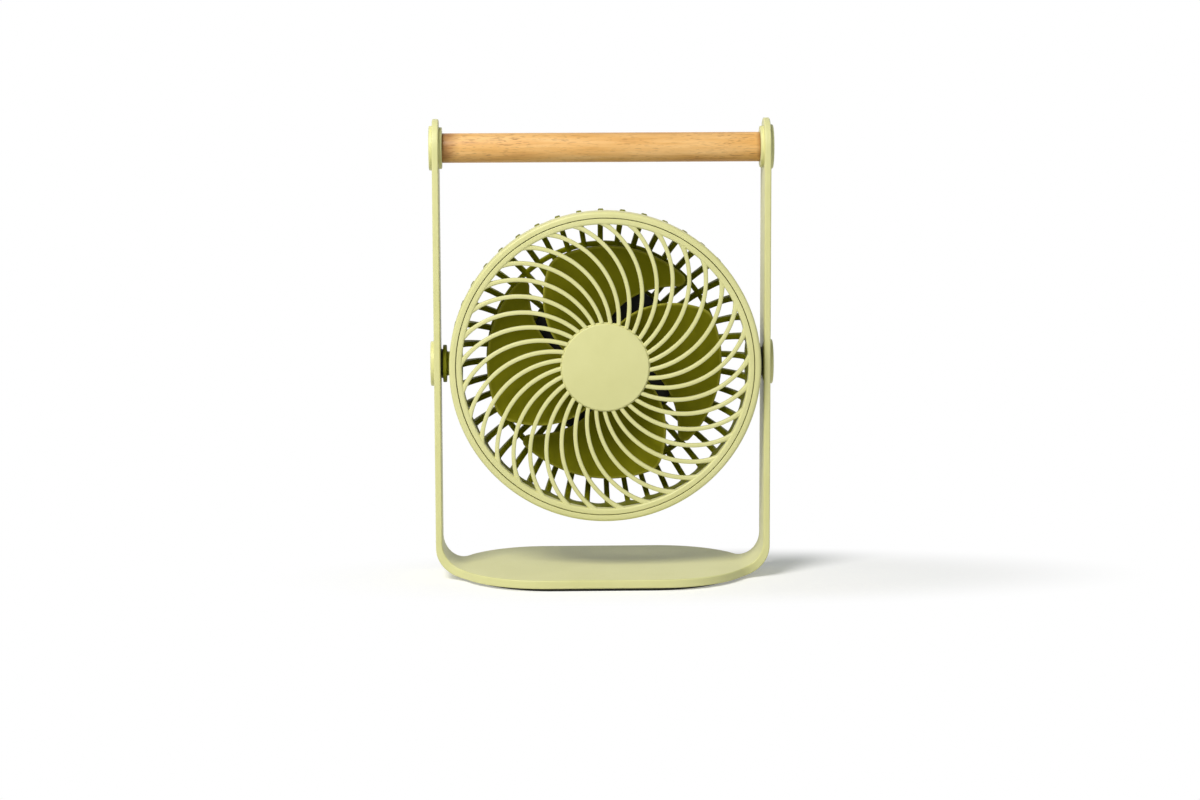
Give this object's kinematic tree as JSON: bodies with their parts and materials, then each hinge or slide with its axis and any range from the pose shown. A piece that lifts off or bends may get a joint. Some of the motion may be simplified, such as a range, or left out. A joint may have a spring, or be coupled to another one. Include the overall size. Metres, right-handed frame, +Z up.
{
  "type": "portable fan",
  "caption": "Portable desk fan: a round caged fan head that tilts between the arms of a bent band stand with an oval base and a wooden carrying bar on top.",
  "frame": {"origin": "on the floor, under the middle of the base", "axes": "+X right and +Y back as seen from the front of the fan, +Z up"},
  "size_m": [0.199, 0.105, 0.2672],
  "materials": {
    "pistachio_plastic": "satin moulded pistachio plastic",
    "olive_plastic": "satin moulded olive plastic",
    "wheel_plastic": "satin moulded olive plastic",
    "black_plastic": "satin black plastic",
    "bush_plastic": "dark plain bearing plastic",
    "pad_rubber": "matt rubber",
    "beech": "oiled beech",
    "steel": "plain bright steel",
    "copper": "enamelled copper wire",
    "bronze": "sintered bronze",
    "ferrite": "matt ferrite",
    "battery_wrap": "heat-shrunk wrap",
    "board": "green solder mask",
    "lens": "clear light pipe"
  },
  "bodies": {
    "stand": {"stand_band": "pistachio_plastic", "base_pad": "pad_rubber", "handle_bar": "beech", "handle_screws": "steel", "handle_washer_left": "pistachio_plastic", "handle_washer_right": "pistachio_plastic", "handle_cap_left": "pistachio_plastic", "handle_cap_right": "pistachio_plastic", "pivot_bush_left": "bush_plastic", "pivot_bush_right": "bush_plastic", "pivot_cap_left": "pistachio_plastic", "pivot_cap_right": "pistachio_plastic"},
    "head": {"trunnion_left": "olive_plastic", "trunnion_right": "olive_plastic", "pivot_screws": "steel", "spring_washers": "steel", "front_bezel": "pistachio_plastic", "front_grille": "pistachio_plastic", "centre_cap": "pistachio_plastic", "rear_guard": "olive_plastic", "motor_plate": "black_plastic", "motor_screws": "steel", "stator_core": "steel", "stator_coils": "copper", "bearing_front": "bronze", "bearing_rear": "bronze", "rear_cover": "olive_plastic", "cover_screws": "steel", "battery_tray": "black_plastic", "battery_pack": "battery_wrap", "circuit_board": "board", "board_screws": "steel", "charging_socket": "steel", "tact_switch": "black_plastic", "indicator_lens": "lens"},
    "fan_wheel": {"impeller": "wheel_plastic", "motor_shaft": "steel", "shaft_clip": "steel", "rotor_magnet": "ferrite", "rotor_yoke": "steel"},
    "button": {"power_button": "pistachio_plastic"}
  },
  "joints": [
    {"name": "head_tilt", "type": "hinge", "parent": "stand", "child": "head", "pos_m": [0, 0, 0.1253], "axis": [1, 0, 0], "range_deg": [-90, 90]},
    {"name": "wheel_spin", "type": "hinge", "parent": "head", "child": "fan_wheel", "pos_m": [0.0015, 0, 0.1253], "axis": [0, -1, 0], "continuous": true},
    {"name": "button_press", "type": "slide", "parent": "head", "child": "button", "axis": [0, -1, 0], "range_m": [0, 0.0006], "stiffness_N_per_m": 800}
  ]
}
